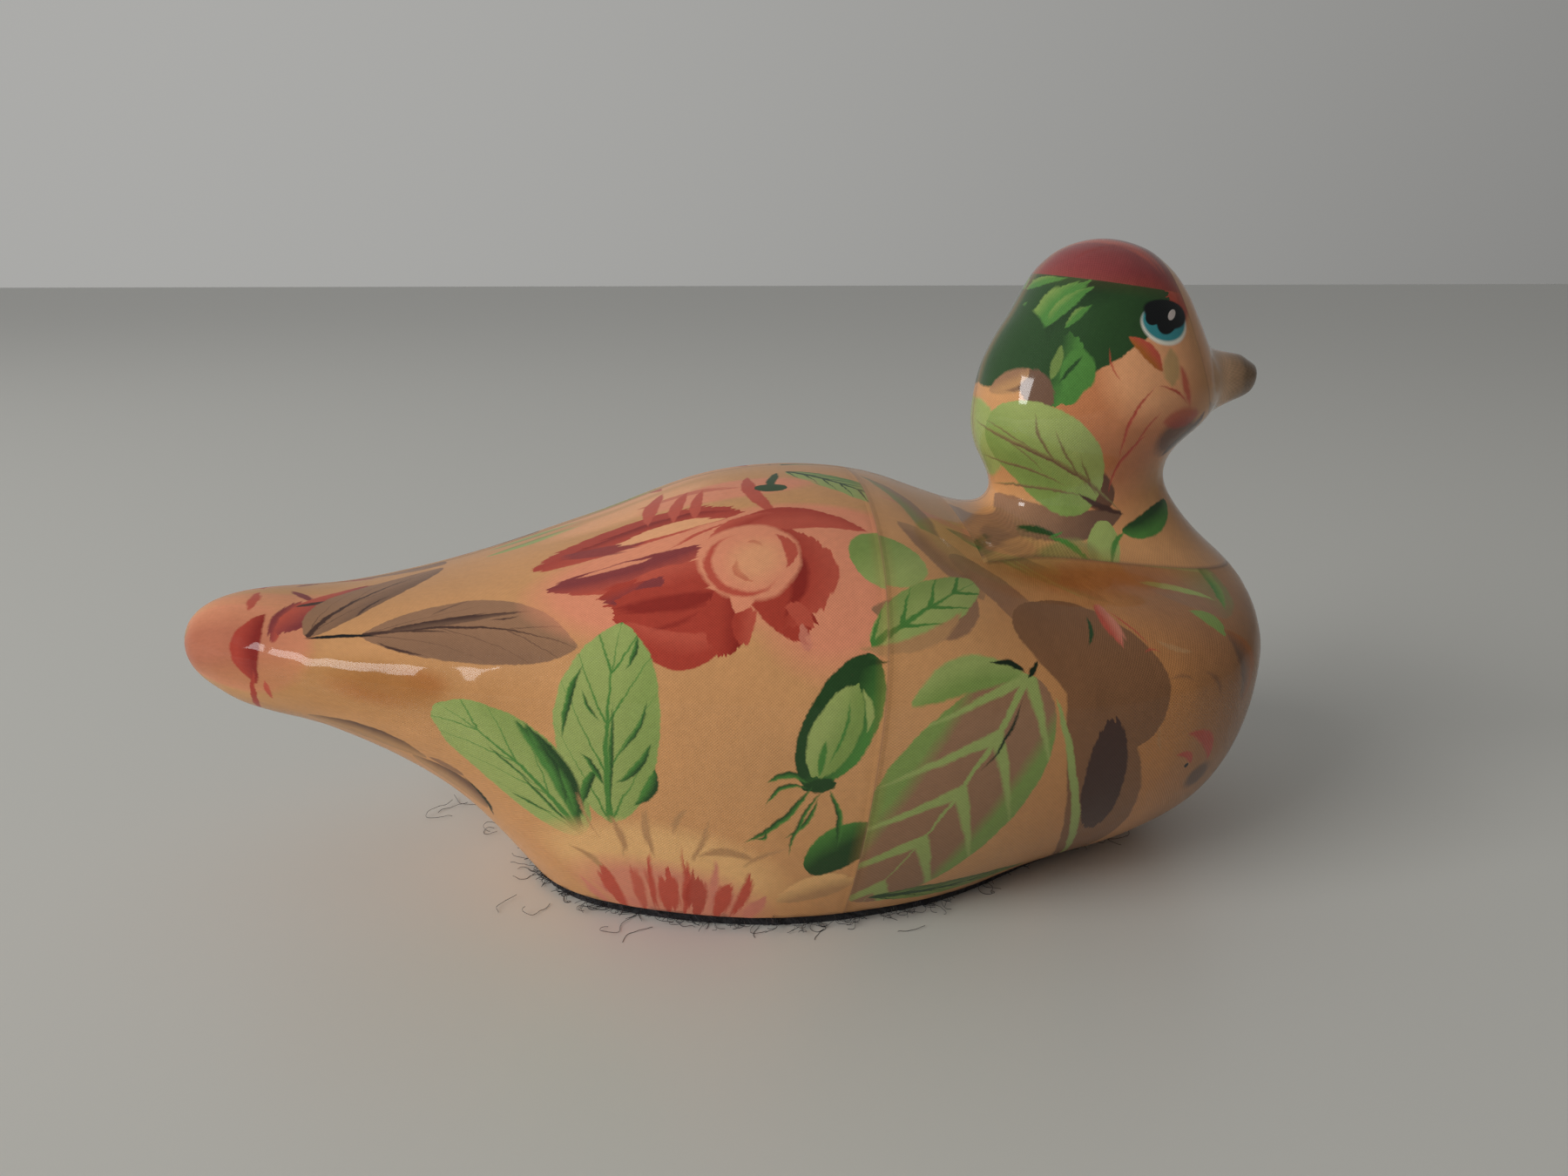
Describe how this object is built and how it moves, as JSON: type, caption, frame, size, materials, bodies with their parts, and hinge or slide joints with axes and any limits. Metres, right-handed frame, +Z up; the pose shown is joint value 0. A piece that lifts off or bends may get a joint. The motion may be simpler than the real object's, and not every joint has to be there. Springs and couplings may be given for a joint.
{
  "type": "duck figurine",
  "caption": "Duck figurine with an upswept tail, domed back and upright head, covered with rose-printed cloth under clear lacquer, standing on a flat felted base.",
  "frame": {"origin": "underside of the felt, below the middle of the overall length and width", "axes": "+X towards the bill, +Y to the duck's left, +Z up"},
  "size_m": [0.206, 0.0996, 0.1156],
  "materials": {
    "lacquered_cloth": "rose-printed cotton glued over a cast body and sealed with clear gloss lacquer",
    "felt": "thin black wool felt with a fuzzy cut edge"
  },
  "bodies": {
    "root": {"duck_body": "lacquered_cloth", "felt_pad": "felt"}
  },
  "joints": []
}
